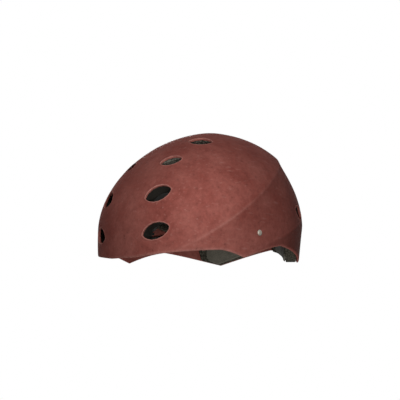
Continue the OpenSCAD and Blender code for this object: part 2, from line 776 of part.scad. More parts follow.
module housing_cover() {
    front = -channel_depth / 2 - cover_thickness;
    color("#26241f")
        at_nape()
            difference() {
                slab(front, -channel_depth / 2) housing_outline();
                screw_places() {
                    slab(front - sliver, 0) circle(d = screw_d + 2 * running_gap);
                    slab(front - sliver, front + screw_head_h + running_gap)
                        circle(d = screw_head_d + 2 * running_gap);
                }
            }
}
module housing_screws() {
    front = -channel_depth / 2 - cover_thickness;
    color("#968f84")
        at_nape()
            screw_places() {
                slab(front, front + screw_head_h) circle(d = screw_head_d);
                slab(front, front + screw_length - running_gap) circle(d = screw_d);
            }
}
module nape_cushion() {
    half = [housing_size[0] / 2 + 2, housing_size[1] / 2 + 1];
    back = -channel_depth / 2 - cover_thickness - sliding_gap;
    function place(u, v, depth) =
        [half[0] * (1 - 2 * outline_shift(u, v)), back - depth, half[1] * (2 * outline_shift(v, u) - 1)];
    padding()
        at_nape()
            patch(function(u, v) place(u, v, 0),
                function(u, v) place(u, v, cushion_thickness * crowned(u, v)), 10, 6);
}

// Cradle arm: an eye on the pivot stud and a strip that sweeps back to the rack's lug
eye_d = stud_d + 2 * running_gap + 2 * eye_wall;
arm_gap = 0.6;
arm_start = [rivet_at[0] - eye_out - (eye_thickness - arm_thickness) / 2, rivet_at[1], rivet_at[2]];
arm_end = [rack_outer_end + arm_gap, rack_y + arm_thickness / 2, dial_level];
arm_arch = 1.45;
first_turn = 4;
function arm_line(u) =
    let(a = first_turn + (90 - first_turn) * u)
    [arm_end[0] + (arm_start[0] - arm_end[0]) * max(0, cos(a)) ^ arm_arch,
        arm_start[1] + (arm_end[1] - arm_start[1]) * max(0, sin(a)) ^ arm_arch,
        rounded(arm_start[2], arm_end[2], u)];
module cradle_arm(side) {
    color("#2b2924")
        mirrored(side)
            difference() {
                union() {
                    on_rivet(eye_out, eye_out + eye_thickness, eye_d);
                    ribbon(function(u) arm_line(u),
                        function(u) unit(cross(run_of(function(s) arm_line(s), u), [0, 0, 1])),
                        arm_height, arm_thickness, 20);
                }
                on_rivet(eye_out - 1, eye_out + eye_thickness + 1, stud_d + 2 * running_gap);
            }
}

outer_shell();
foam_liner();
brow_pad();
temple_pad(1);  // left_temple_pad
temple_pad(-1);  // right_temple_pad
crown_pad(0);  // front_crown_pad
crown_pad(180);  // rear_crown_pad
nape_pad(1);  // left_nape_pad
nape_pad(-1);  // right_nape_pad
side_rivet(1);  // left_side_rivet
side_rivet(-1);  // right_side_rivet
rivet_washer(1);  // left_rivet_washer
rivet_washer(-1);  // right_rivet_washer
pivot_bracket(1);  // left_pivot_bracket
pivot_bracket(-1);  // right_pivot_bracket
rear_strap_anchor(1);  // left_rear_anchor
rear_strap_anchor(-1);  // right_rear_anchor
front_strap(1);  // left_front_strap
front_strap(-1);  // right_front_strap
rear_strap(1);  // left_rear_strap
rear_strap(-1);  // right_rear_strap
divider(1);  // left_divider
divider(-1);  // right_divider
chin_strap(1);  // left_chin_strap
chin_strap(-1);  // right_chin_strap
buckle_socket();
buckle_tongue();
cradle_arm(1);  // left_cradle_arm
cradle_arm(-1);  // right_cradle_arm
nape_housing();
housing_cover();
housing_screws();
nape_cushion();
dial_knob();
drive_pinion();
rack(1);  // left_rack
rack(-1);  // right_rack
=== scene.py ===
# %% [markdown]
# # A climbing helmet, dressed in Blender
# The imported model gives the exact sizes, the moving parts and a plain solid for every piece. This
# lesson keeps those places and rebuilds what the eye rests on: the moulded shell, the foam, the pads
# and the webbing. Everything is in metres, in the frame of the model, with the front towards -Y.

# %% Load the fixed frame
import math

import bpy
import numpy as np
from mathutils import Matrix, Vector


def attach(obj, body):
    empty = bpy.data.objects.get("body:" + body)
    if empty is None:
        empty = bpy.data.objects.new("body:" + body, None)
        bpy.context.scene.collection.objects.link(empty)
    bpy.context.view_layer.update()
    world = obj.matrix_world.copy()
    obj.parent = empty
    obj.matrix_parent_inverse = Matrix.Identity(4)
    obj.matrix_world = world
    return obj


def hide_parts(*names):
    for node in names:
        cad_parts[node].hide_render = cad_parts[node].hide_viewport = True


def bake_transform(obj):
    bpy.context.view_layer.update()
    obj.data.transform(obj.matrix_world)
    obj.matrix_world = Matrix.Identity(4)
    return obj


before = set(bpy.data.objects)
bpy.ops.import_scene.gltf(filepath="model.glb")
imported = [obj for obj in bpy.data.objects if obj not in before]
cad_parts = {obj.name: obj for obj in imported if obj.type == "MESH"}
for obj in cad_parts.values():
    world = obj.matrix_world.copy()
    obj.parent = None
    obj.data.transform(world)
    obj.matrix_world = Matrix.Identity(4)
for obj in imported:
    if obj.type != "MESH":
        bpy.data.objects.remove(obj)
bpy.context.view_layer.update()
scene = bpy.context.scene
MM = 0.001

# %% [markdown]
# ## Camera
# The photograph was taken from the front left, from a little below the rim, with a long lens. The
# camera looks at a point inside the helmet from that side; the numbers come from fitting the outline.

# %% Camera at the photograph's angle
aim = np.array([0.0, -5.73, 77.6]) * MM


def place_aimed(thing, turn, rise, distance):
    """Puts a camera or lamp at a turn from the front, a rise and a distance, aimed at the helmet."""
    t, e = math.radians(turn), math.radians(rise)
    back = np.array([math.sin(t) * math.cos(e), -math.cos(t) * math.cos(e), math.sin(e)])
    thing.location = aim + back * distance
    thing.rotation_mode = "QUATERNION"
    thing.rotation_quaternion = Vector(-back).to_track_quat("-Z", "Y")
    scene.collection.objects.link(thing)


camera = bpy.data.objects.new("camera", bpy.data.cameras.new("camera"))
camera.data.sensor_width, camera.data.lens = 36.0, 77.28
place_aimed(camera, turn=46.26, rise=-6.8, distance=1.082)
scene.camera = camera
print("camera at", np.round(np.array(camera.location), 3))

# %% [markdown]
# ## From arrays to meshes
# A surface is a grid of points worked out as one array. One function puts such arrays into a mesh:
# it drops the cells that a mask leaves out, closes seams and poles by merging equal points, and
# carries a wear value for each point and a flat map in millimetres for woven and sewn patterns.


# %% Mesh helpers
def cells(rows, columns, wrap):
    """Corner numbers of every four-sided cell of a grid; with wrap, the last column joins the first."""
    r, c = np.meshgrid(np.arange(rows - 1), np.arange(columns if wrap else columns - 1), indexing="ij")
    right = (c + 1) % columns
    return np.stack([r * columns + c, r * columns + right,
                     (r + 1) * columns + right, (r + 1) * columns + c], -1).reshape(-1, 4)


def make_piece(name, parts, material):
    """One mesh from parts: dicts of points [n, 3], quads [m, 4], any wear [n], held [n], flat [n, 2]."""
    def gathered(key, *width):
        return np.concatenate([part.get(key, np.zeros((len(part["points"]), *width))) for part in parts])
    points, wear, held, flat = gathered("points"), gathered("wear"), gathered("held"), gathered("flat", 2)
    starts = np.cumsum([0] + [len(part["points"]) for part in parts])
    quads = np.concatenate([part["quads"] + start for part, start in zip(parts, starts)])
    used, quads = np.unique(quads, return_inverse=True)
    quads = quads.reshape(-1, 4)
    mesh = bpy.data.meshes.new(name)
    mesh.vertices.add(len(used))
    mesh.vertices.foreach_set("co", points[used].astype(np.float32).ravel())
    mesh.loops.add(quads.size)
    mesh.loops.foreach_set("vertex_index", quads.astype(np.int32).ravel())
    mesh.polygons.add(len(quads))
    mesh.polygons.foreach_set("loop_start", np.arange(0, quads.size, 4, dtype=np.int32))
    mesh.polygons.foreach_set("use_smooth", np.ones(len(quads), bool))
    for key, values in (("wear", wear), ("held", held)):
        if key == "wear" or values.any():
            layer = mesh.attributes.new(key, "FLOAT", "POINT")
            layer.data.foreach_set("value", values[used].astype(np.float32))
    flat_map = mesh.uv_layers.new(name="flat")
    flat_map.data.foreach_set("uv", flat[used][quads.ravel()].astype(np.float32).ravel())
    mesh.update()
    mesh.validate()
    piece = bpy.data.objects.new(name, mesh)
    scene.collection.objects.link(piece)
    mesh.materials.append(material)
    weld = piece.modifiers.new("weld", "WELD")
    weld.merge_threshold = 1e-6
    apply_modifiers(piece)
    print(name, len(piece.data.polygons), "faces")
    return piece


def apply_modifiers(piece):
    """Bakes the modifiers of a piece into its mesh."""
    shaped = bpy.data.meshes.new_from_object(piece.evaluated_get(bpy.context.evaluated_depsgraph_get()))
    piece.modifiers.clear()
    piece.data = shaped


def unit(v):
    """Vectors of length one along the last axis."""
    return v / np.maximum(np.linalg.norm(v, axis=-1, keepdims=True), 1e-12)


# %% [markdown]
# ## Colours and nodes
# Colours are written as sRGB hex, as a colour picker shows them, and one function turns them to the
# linear values that Blender mixes. One small function adds a node with its settings and its links. A
# Mix node has a set of sockets for each kind of data, so only the sockets in use are looked at.


# %% Material helpers
def linear(hex_colour):
    """sRGB hex to linear RGBA."""
    srgb = np.array([int(hex_colour[i:i + 2], 16) for i in (1, 3, 5)]) / 255
    return (*np.where(srgb <= 0.04045, srgb / 12.92, ((srgb + 0.055) / 1.055) ** 2.4), 1.0)


def add(tree, kind, inputs=None, **settings):
    """Adds a node and its settings; an input gets a value, or a link from a socket or a node's output."""
    node = tree.nodes.new("ShaderNode" + kind)
    for name, value in settings.items():
        setattr(node, name, value)
    in_use = [socket for socket in node.inputs if socket.enabled]
    by_name = {socket.name: socket for socket in in_use}
    for key, value in (inputs or {}).items():
        socket = (in_use if isinstance(key, int) else by_name)[key]
        if isinstance(value, bpy.types.Node):
            value = next(output for output in value.outputs if output.enabled)
        if isinstance(value, bpy.types.NodeSocket):
            tree.links.new(value, socket)
        else:
            socket.default_value = value
    return node


def new_material(name):
    """An empty node material, its tree and its Object coordinates."""
    material = bpy.data.materials.new(name)
    material.use_nodes = True
    tree = material.node_tree
    tree.nodes.clear()
    print("material:", name)
    return material, tree, add(tree, "TexCoord").outputs["Object"]


def per_mm(size_mm):
    """Texture scale at which one feature is size_mm across in object space."""
    return 1 / (size_mm * MM)


# %% [markdown]
# ## Scuffed ABS
# The shell is ABS, injection moulded with a fine matt grain. Years on rock have left it dusty: pale
# scuffs, dark specks where grit has pressed in, and paler plastic along every edge. Painted shade
# darkens it towards the rear and below the lower crease, and the crease ridges are paler, partly as a
# painted highlight. The eye reads it by soft blotches some centimetres wide, mottling of a few
# millimetres, and a broad dull sheen. Noise on Object coordinates gives all of them without a seam.

# %% Shell material
shell_abs, tree, place = new_material("scuffed_moulded_abs")
blotch = add(tree, "TexNoise", {"Vector": place, "Scale": per_mm(38), "Detail": 4.0, "Roughness": 0.6})
mottle = add(tree, "TexNoise", {"Vector": place, "Scale": per_mm(5), "Detail": 5.0, "Roughness": 0.72})
grain = add(tree, "TexNoise", {"Vector": place, "Scale": per_mm(1.1), "Detail": 2.0})
turned = add(tree, "Mapping", {"Vector": place, "Rotation": (0.5, 0.3, 0.9), "Scale": (1.0, 0.16, 1.0)})
scratch = add(tree, "TexNoise", {"Vector": turned, "Scale": per_mm(3.2), "Detail": 3.0})
# The wear value is real wear above zero, partly a painted highlight on the crease ridges, and painted shade
# below zero.
wear = add(tree, "Attribute", attribute_name="wear").outputs["Fac"]
blotch_share = add(tree, "MapRange", {"Value": blotch, "From Min": 0.36, "From Max": 0.64})
body = add(tree, "Mix", {"Factor": blotch_share, "A": linear("#86473f"), "B": linear("#995a51")},
           data_type="RGBA")
mottle_share = add(tree, "MapRange", {"Value": mottle, "From Min": 0.32, "From Max": 0.68, "To Min": 0.82,
                                      "To Max": 1.16})
colour = add(tree, "Mix", {"Factor": 1.0, "A": body, "B": mottle_share}, data_type="RGBA",
             blend_type="MULTIPLY")
speck_share = add(tree, "MapRange", {"Value": mottle, "From Min": 0.36, "From Max": 0.28, "To Max": 0.55})
scuff_share = add(tree, "MapRange", {"Value": scratch, "From Min": 0.6, "From Max": 0.76, "To Max": 0.48})
broken_edge = add(tree, "MapRange", {"Value": mottle, "From Min": 0.3, "From Max": 0.6, "To Min": 0.35})
# Paler plastic on the rim and the ridges; on the crease ridges it is partly a painted highlight.
edge_wear_and_highlight = add(tree, "Math", {0: wear, 1: broken_edge}, operation="MULTIPLY")
# Painted shade: below zero the wear value darkens the shell towards a dark brown.
painted_shade_share = add(tree, "MapRange", {"Value": wear, "From Max": -1.0})
for share, tint in ((speck_share, "#4a2a26"), (scuff_share, "#a9736a"), (edge_wear_and_highlight, "#b98076"),
                    (painted_shade_share, "#2c1815")):
    colour = add(tree, "Mix", {"Factor": share, "A": colour, "B": linear(tint)}, data_type="RGBA")
rough = add(tree, "MapRange", {"Value": mottle, "From Min": 0.3, "From Max": 0.7, "To Min": 0.62,
                               "To Max": 0.8})
bump = add(tree, "Bump", {"Height": grain, "Strength": 0.12, "Distance": 0.4 * MM})
shader = add(tree, "BsdfPrincipled", {"Base Color": colour, "Roughness": rough, "Normal": bump, "IOR": 1.53,
                                      "Specular IOR Level": 0.04})
add(tree, "OutputMaterial", {"Surface": shader})

# %% [markdown]
# ## Bead foam
# The liner is expanded polystyrene: beads of 3 or 4 mm steamed until they fuse. Up close it shows a
# cell pattern with fine dark joints, and it is quite matt. The vents' channels have painted shade low
# down and painted light near the crown, so the eye sees depth in each of them.

# %% Foam material
bead_foam, tree, place = new_material("moulded_bead_foam")
bead_scale = per_mm(3.4)
beads = add(tree, "TexVoronoi", {"Vector": place, "Scale": bead_scale}, feature="DISTANCE_TO_EDGE")
tone = add(tree, "TexVoronoi", {"Vector": place, "Scale": bead_scale})
joint = add(tree, "MapRange", {"Value": beads, "From Max": 0.12})
tint = add(tree, "MapRange", {"Value": tone, "From Max": 0.7})
foam = add(tree, "Mix", {"Factor": tint, "A": linear("#5c584d"), "B": linear("#4a463d")}, data_type="RGBA")
# The channels' foam is painted shade low down and painted light near the crown, set by height.
height = add(tree, "SeparateXYZ", {0: place}).outputs["Z"]
dust_and_painted_light_share = add(tree, "MapRange", {"Value": height, "From Min": 85 * MM, "From Max": 108 * MM})
channel_painted_shade_and_light = add(tree, "Mix", {"Factor": dust_and_painted_light_share, "A": linear("#262320"), "B": linear("#67635a")},
                   data_type="RGBA")
in_channel = add(tree, "Attribute", attribute_name="wear").outputs["Fac"]
zoned = add(tree, "Mix", {"Factor": in_channel, "A": foam, "B": channel_painted_shade_and_light}, data_type="RGBA")
jointed = add(tree, "Mix", {"Factor": joint, "A": linear("#26251f"), "B": zoned}, data_type="RGBA")
bump = add(tree, "Bump", {"Height": joint, "Strength": 0.3, "Distance": 0.5 * MM})
shader = add(tree, "BsdfPrincipled", {"Base Color": jointed, "Normal": bump, "Roughness": 0.85,
                                      "Specular IOR Level": 0.05})
add(tree, "OutputMaterial", {"Surface": shader})

# %% [markdown]
# ## Knitted covers
# The pads are soft foam in a knitted polyester cover: small loops in rows, with a nap that catches
# light at a low angle, and a row of stitches inside the border. The pattern follows the cloth, so it
# reads the flat map in millimetres. The real loops are under 1 mm; they are drawn at 1.6 mm to show.

# %% Knit material
knit, tree, place = new_material("knitted_polyester_over_foam")
loop_size = 1.6
flat = add(tree, "UVMap", uv_map="flat")
loops = add(tree, "TexVoronoi", {"Vector": flat, "Scale": 1 / loop_size, "Randomness": 0.25},
            voronoi_dimensions="2D")
fade = add(tree, "TexNoise", {"Vector": place, "Scale": per_mm(18), "Detail": 4.0})
fibre = add(tree, "TexNoise", {"Vector": place, "Scale": per_mm(0.9), "Detail": 2.0})
cloth_share = add(tree, "MapRange", {"Value": fade, "From Min": 0.35, "From Max": 0.65})
colour = add(tree, "Mix", {"Factor": cloth_share, "A": linear("#6a665b"), "B": linear("#7b766a")},
             data_type="RGBA")
gap_share = add(tree, "MapRange", {"Value": loops, "From Min": 0.35, "From Max": 0.65, "To Max": 0.6})
stitches = add(tree, "Attribute", attribute_name="wear").outputs["Fac"]
for share, tint in ((gap_share, "#3b3831"), (stitches, "#6a675d")):
    colour = add(tree, "Mix", {"Factor": share, "A": colour, "B": linear(tint)}, data_type="RGBA")
height = add(tree, "Math", {0: loops, 1: fibre}, operation="SUBTRACT")
bump = add(tree, "Bump", {"Height": height, "Strength": 0.35, "Distance": 0.5 * MM}, invert=True)
shader = add(tree, "BsdfPrincipled", {"Base Color": colour, "Normal": bump, "Roughness": 0.9,
                                      "Specular IOR Level": 0.1, "Sheen Weight": 0.15})
add(tree, "OutputMaterial", {"Surface": shader})

# %% [markdown]
# ## Webbing
# The straps are woven polyester, with ribs across and dust settled in the weave. Real threads would
# take far too many faces, so two crossed waves on the flat map give the weave its colour and bump.

# %% Webbing material
webbing, tree, place = new_material("woven_polyester_webbing")
wave_period, rib_pitch, yarn_pitch = 0.314, 1.3, 1.7
flat = add(tree, "UVMap", uv_map="flat")
ribs = add(tree, "TexWave", {"Vector": flat, "Scale": wave_period / rib_pitch, "Distortion": 0.5,
                             "Detail": 1.0}, bands_direction="X")
across = add(tree, "TexWave", {"Vector": flat, "Scale": wave_period / yarn_pitch}, bands_direction="Y")
weave = add(tree, "Math", {0: ribs.outputs["Fac"], 1: across.outputs["Fac"]}, operation="MULTIPLY")
dust = add(tree, "TexNoise", {"Vector": place, "Scale": per_mm(14), "Detail": 4.0})
yarn = add(tree, "Mix", {"Factor": weave, "A": linear("#191815"), "B": linear("#36342f")}, data_type="RGBA")
dust_and_painted_light_share = add(tree, "MapRange", {"Value": dust, "From Min": 0.5, "From Max": 0.75, "To Max": 0.35})
dusty = add(tree, "Mix", {"Factor": dust_and_painted_light_share, "A": yarn, "B": linear("#55524a")}, data_type="RGBA")
bump = add(tree, "Bump", {"Height": weave, "Strength": 0.4, "Distance": 0.35 * MM})
shader = add(tree, "BsdfPrincipled", {"Base Color": dusty, "Normal": bump, "Roughness": 0.75,
                                      "Sheen Weight": 0.15})
add(tree, "OutputMaterial", {"Surface": shader})

# %% [markdown]
# ## Moulded fittings and metal
# Buckle, plates, brackets and dial are black nylon with a spark-eroded grain. The racks and pinion
# are natural acetal, smooth and slightly waxy. The rivets, washers and screws are plain steel, dulled
# and scratched.

# %% Fittings materials
nylon, tree, place = new_material("moulded_black_nylon")
grain = add(tree, "TexNoise", {"Vector": place, "Scale": per_mm(0.9), "Detail": 3.0})
dust = add(tree, "TexNoise", {"Vector": place, "Scale": per_mm(11), "Detail": 5.0, "Roughness": 0.65})
dust_and_painted_light_share = add(tree, "MapRange", {"Value": dust, "From Min": 0.42, "From Max": 0.75, "To Max": 0.5})
black = add(tree, "Mix", {"Factor": dust_and_painted_light_share, "A": linear("#1b1a18"), "B": linear("#45423b")},
            data_type="RGBA")
rough = add(tree, "MapRange", {"Value": dust, "To Min": 0.38, "To Max": 0.7})
bump = add(tree, "Bump", {"Height": grain, "Strength": 0.25, "Distance": 0.15 * MM})
shader = add(tree, "BsdfPrincipled", {"Base Color": black, "Roughness": rough, "Normal": bump, "IOR": 1.53})
add(tree, "OutputMaterial", {"Surface": shader})

acetal, tree, place = new_material("moulded_natural_acetal")
flow = add(tree, "TexNoise", {"Vector": place, "Scale": per_mm(6), "Detail": 3.0, "Distortion": 0.6})
milk = add(tree, "Mix", {"Factor": flow, "A": linear("#c9c4b4"), "B": linear("#dedacd")}, data_type="RGBA")
rough = add(tree, "MapRange", {"Value": flow, "To Min": 0.3, "To Max": 0.5})
shader = add(tree, "BsdfPrincipled", {"Base Color": milk, "Roughness": rough, "IOR": 1.48})
add(tree, "OutputMaterial", {"Surface": shader})

steel, tree, place = new_material("dulled_plain_steel")
tarnish = add(tree, "TexNoise", {"Vector": place, "Scale": per_mm(2.5), "Detail": 5.0, "Roughness": 0.7})
patch_share = add(tree, "MapRange", {"Value": tarnish, "From Min": 0.35, "From Max": 0.65})
metal = add(tree, "Mix", {"Factor": patch_share, "A": linear("#7f786e"), "B": linear("#a59e93")},
            data_type="RGBA")
rough = add(tree, "MapRange", {"Value": tarnish, "To Min": 0.65, "To Max": 0.4})
bump = add(tree, "Bump", {"Height": tarnish, "Strength": 0.15, "Distance": 0.1 * MM})
shader = add(tree, "BsdfPrincipled", {"Base Color": metal, "Roughness": rough, "Normal": bump,
                                      "Metallic": 0.85})
add(tree, "OutputMaterial", {"Surface": shader})

# %% [markdown]
# ## The wall as a formula
# The helmet's wall is a dome on a rounded plan, drawn in below two slanting creases. Every layer is
# the same formula at another depth below the outer face, its inset. The turn is counted in degrees
# from the front towards the wearer's left, the level in millimetres above the rim's low points.

# %% Wall formula
front_reach, rear_reach, side_reach, dome_height, widest_level = 131.0, 143.0, 118.0, 164.0, 39.0
crown_setback, axis_y, rim_tuck = 15.5, -1.7312, 1.4
plan_fullness, front_fullness, rear_fullness, side_fullness = 2.25, 1.85, 2.0, 1.9
shell_wall, liner_out, liner_in, lining = 3.0, 3.75, 15.75, 16.5
shell_softness, foam_softness, lining_softness = 1.2, 12.0, 40.0
upper_crease = {"level": 86, "slant": 0.73, "slope": 0.4, "limit": 9.5}
lower_crease = {"level": 17.5, "slant": 0.275, "slope": 0.11, "limit": 5.0}


def drawn_in(crease, ahead, level, inset):
    """Draw-in below a slanting crease: it grows with the depth at a slope and levels off at a limit."""
    depth = crease["level"] - crease["slant"] * ahead - level
    soft = np.where(inset <= shell_wall, shell_softness,
                    np.where(inset < liner_in, foam_softness, lining_softness))
    below = (depth + np.sqrt(depth ** 2 + soft ** 2)) / 2
    return crease["limit"] * (1 - np.exp(-below * crease["slope"] / crease["limit"]))


def wall_point(turn, level, inset):
    """Points of the wall in millimetres: at a turn, the dome's reach less the draw-in of both creases."""
    turn, level, inset = np.broadcast_arrays(*(np.asarray(value, float) for value in (turn, level, inset)))
    c, s = np.cos(np.radians(turn)), np.sin(np.radians(turn))
    ahead_reach = np.where(c > 0, front_reach, rear_reach) - inset
    plan = ((np.abs(c) / ahead_reach) ** plan_fullness
            + (np.abs(s) / (side_reach - inset)) ** plan_fullness) ** (-1 / plan_fullness)
    full = side_fullness + (np.where(c > 0, front_fullness, rear_fullness) - side_fullness) * c ** 2
    climb = np.clip((level - widest_level) / (dome_height - inset - widest_level), 0, 1)
    dome = plan * np.maximum(0, 1 - climb ** full) ** (1 / full)
    dome = dome - rim_tuck * np.maximum(0, 1 - level / widest_level) ** 2
    reach = dome - drawn_in(upper_crease, dome * c, level, inset)
    reach = np.maximum(0, reach - drawn_in(lower_crease, dome * c, level, inset))
    axis = axis_y + crown_setback * (level / dome_height) ** 2
    return np.stack([reach * s, axis - reach * c, level], -1)


def wall_frame(turn, level, inset=0.0):
    """Unit vectors of the wall at a place: along the level line, and outwards."""
    along = unit(wall_point(turn + 1, level, inset) - wall_point(turn - 1, level, inset))
    up = wall_point(turn, level + 1, inset) - wall_point(turn, level - 1, inset)
    return along, unit(np.cross(along, up))


print("widest at the side:", np.round(wall_point(90, widest_level, 0), 1))

# %% [markdown]
# ## Rim and liner edge
# The rim is scalloped: it stands on low points at the front, at the temples and behind the ears, and
# arches up between them. Keys give the height at a few turns, which is easier to fit to a photograph
# than one formula. The rim is pointed where it is low and round where it is high.

# %% Edges
# Each key is a turn in degrees and the height of the edge there in millimetres.
rim_keys = [(0, 0), (9, 0), (56.5, 8.1), (72, 0), (105.5, 16.2), (146, 0), (180, 19.5)]
liner_keys = [(0, 5), (44, 8), (70, 46), (90, 52), (110, 44), (127, 40), (136, 0), (170, 0), (176, 82),
              (180, 82)]
liner_above_rim = 0.3


def eased(share):
    """A share that starts and ends slowly: half a cosine wave from 0 to 1."""
    return (1 - np.cos(np.pi * share)) / 2


def key_level(keys, turn, pointed):
    """Edge height at each turn: eased between keys, pointed at low keys or rounded at all of them."""
    keys, t = np.array(keys, float), np.abs((np.asarray(turn) + 180) % 360 - 180)
    i = np.clip(np.searchsorted(keys[:, 0], t) - 1, 0, len(keys) - 2)
    low, high = keys[i, 1], keys[i + 1, 1]
    share = (t - keys[i, 0]) / (keys[i + 1, 0] - keys[i, 0])
    rise = np.where(high >= low, share, 1 - share)
    if pointed:
        return np.minimum(low, high) + np.abs(high - low) * (rise + np.sin(np.radians(90 * rise))) / 2
    return low + (high - low) * eased(share)


def rim_level(turn):
    """Height of the shell's lower edge."""
    return key_level(rim_keys, turn, True)


def liner_level(turn):
    """Height of the liner's lower edge, which stays above the rim."""
    return np.maximum(rim_level(turn) + liner_above_rim, key_level(liner_keys, turn, False))


print("crown to rim:", dome_height, "mm; ear arch:", round(float(rim_level(105.5)), 1), "mm")

# %% [markdown]
# ## Vents
# Five oval vents a side go through shell and liner. Each has an outline of sixteen straight sides, as
# in the photograph. A cell of a wall is dropped where its middle falls inside the outline, which leaves
# the rest of the grid as it was, where a boolean cut would break up the faces round it.

# %% Vent outlines
# Each vent is a turn and a level, a length and a width, and a tilt in degrees. The pinch slims the
# ends of its oval, and the taper narrows it by that share of the depth.
vents = {"brow": (22.3, 29, 35, 19, 15), "forehead": (21.2, 72.6, 33, 21, 18),
         "upper": (21.5, 114.3, 27, 17.5, 12), "crown": (37.2, 142.4, 29, 22, -10),
         "rear": (131.5, 61, 32, 17, -8)}
vent_sides, vent_pinch, vent_taper, wall_depth = 16, 1.3, 2 / 29.75, 24


def vent_axes(vent):
    """Middle of a vent on the outer face, and its along, across and outward directions."""
    turn, level, _, _, tilt = vent
    level_line, outward = wall_frame(turn, level)
    tilt = math.radians(tilt)
    along = level_line * math.cos(tilt) + np.cross(outward, level_line) * math.sin(tilt)
    return wall_point(turn, level, 0), along, np.cross(outward, along), outward


def vent_outline(vent, grow, steps=6):
    """Outline in the vent's own plane: the corners of a slim oval, with each side split in steps."""
    length, width = vent[2:4]
    corner = np.radians(np.arange(vent_sides + 1) * 360 / vent_sides)
    sine = np.sin(corner)
    oval = np.stack([np.cos(corner) * (length / 2 + grow),
                     np.sign(sine) * np.abs(sine) ** vent_pinch * (width / 2 + grow)], -1)
    share = np.arange(vent_sides * steps) / steps
    whole = share.astype(int)
    part = (share - whole)[:, None]
    return oval[whole] * (1 - part) + oval[whole + 1] * part


def in_vents(points, grow):
    """True for points, in millimetres, that lie inside a vent's outline grown by some millimetres."""
    folded = points.copy()
    folded[:, 0] = np.abs(folded[:, 0])
    inside = np.zeros(len(points), bool)
    for vent in vents.values():
        length, width = vent[2:4]
        middle, along, across, outward = vent_axes(vent)
        away = folded - middle
        a, b, h = away @ along, away @ across, away @ outward
        reach = 1 - (a / (length / 2 + grow)) ** 2
        half = (width / 2 + grow) * np.maximum(0, reach) ** (vent_pinch / 2)
        inside |= (np.abs(b) < half) & (np.abs(h) < wall_depth)
    return inside


def vented(grid, outer_rows, grow_out, grow_in):
    """Points and cells of a closed wall, without the cells inside the vents, grown for each face."""
    rows, columns = grid.shape[:2]
    quads = cells(rows, columns, True)[:, ::-1]
    points = grid.reshape(-1, 3)
    middles = points[quads].mean(1)
    on_outside = np.repeat(np.arange(rows - 1) < outer_rows, columns)
    dropped = np.where(on_outside, in_vents(middles, grow_out), in_vents(middles, grow_in))
    return points * MM, quads[~dropped]


print("vents:", 2 * len(vents))

# %% [markdown]
# ## Lips of the vents
# A moulded vent has a rolled lip, where the eye looks for thickness. A ring covers the ragged cut: a
# small profile carried round the outline on both faces, at places found by Newton's method.


# %% Vent rings
def on_wall(vent, flat, inset):
    """Points of the wall above places in the vent's plane, by Newton's method on turn and level."""
    middle, along, across, _ = vent_axes(vent)
    place = np.tile(np.array(vent[:2], float), (len(flat), 1))
    plane, nudge = np.stack([along, across], -1), 0.05

    def flattened(turn, level):
        return (wall_point(turn, level, inset) - middle) @ plane
    for _ in range(12):
        turn, level = place.T
        here = flattened(turn, level)
        by_turn = (flattened(turn + nudge, level) - here) / nudge
        by_level = (flattened(turn, level + nudge) - here) / nudge
        slope = np.stack([by_turn, by_level], -1)
        place = place + np.linalg.solve(slope, (flat - here)[..., None])[..., 0]
    return wall_point(*place.T, inset)


def mirrored(part):
    """The same part on the other side of the middle plane."""
    return {**part, "points": part["points"] * np.array([-1, 1, 1]), "quads": part["quads"][:, ::-1]}


def vent_rings(out, inner, profile):
    """Rings round all vents: a station of the profile is a growth, a share inwards, a lift and a wear."""
    parts = []
    for vent in vents.values():
        outward = vent_axes(vent)[3]
        rows, wears = [], []
        for grow, share, lift, wear_here in profile + profile[:1]:
            rim_out = on_wall(vent, vent_outline(vent, grow - vent_taper * out / 2), out)
            rim_in = on_wall(vent, vent_outline(vent, grow - vent_taper * inner / 2), inner)
            rows.append(rim_out * (1 - share) + rim_in * share + outward * lift)
            wears.append(np.full(len(rim_out), wear_here))
        ring = {"points": np.concatenate(rows) * MM, "quads": cells(len(rows), len(rows[0]), True),
                "wear": np.concatenate(wears)}
        parts += [ring, mirrored(ring)]
    return parts


# %% [markdown]
# ## The shell
# The real shell is moulded in one piece, 3 mm thick. Here it is one closed grid: down the outside
# from the crown, round the rolled rim, and up the inside, so it has a true thickness with no modifier.


# %% Shell grid
def rising(rows):
    """Shares of the way up from an edge to the crown, closer together near the crown."""
    return np.sin(np.radians(np.linspace(0, 90, rows)))[:, None]


columns, outer_rows, inner_rows = 424, 148, 58
turns = np.arange(columns) * 360.0 / columns
rim = rim_level(turns)
roll = shell_wall / 2
bend = np.radians(np.linspace(0, 180, 9))[1:-1]
levels = np.concatenate([rim + roll + (dome_height - rim - roll) * rising(outer_rows)[::-1],
                         rim + roll - roll * np.sin(bend)[:, None],
                         rim + roll + (dome_height - shell_wall - rim - roll) * rising(inner_rows)])
insets = np.concatenate([np.zeros(outer_rows), roll - roll * np.cos(bend),
                         np.full(inner_rows, shell_wall)])
grid = wall_point(turns, levels, insets[:, None])
print("shell grid:", grid.shape)

# %% [markdown]
# ## Wear, painted highlight and painted shade on the shell
# The wear value rises on the rim, on the ridges of the creases and on the vents' lips, where a real
# helmet rubs first; on the crease ridges it is partly a painted highlight. It falls below zero as
# painted shade, at the rear and below the lower crease. It is worked out from the shape, point by
# point, so nothing has to be painted by hand.


# %% Wear, painted highlight and painted shade on the shell
def band(distance, width):
    """A soft band along a line: a bell curve of the distance from it."""
    return np.exp(-(distance / width) ** 2)
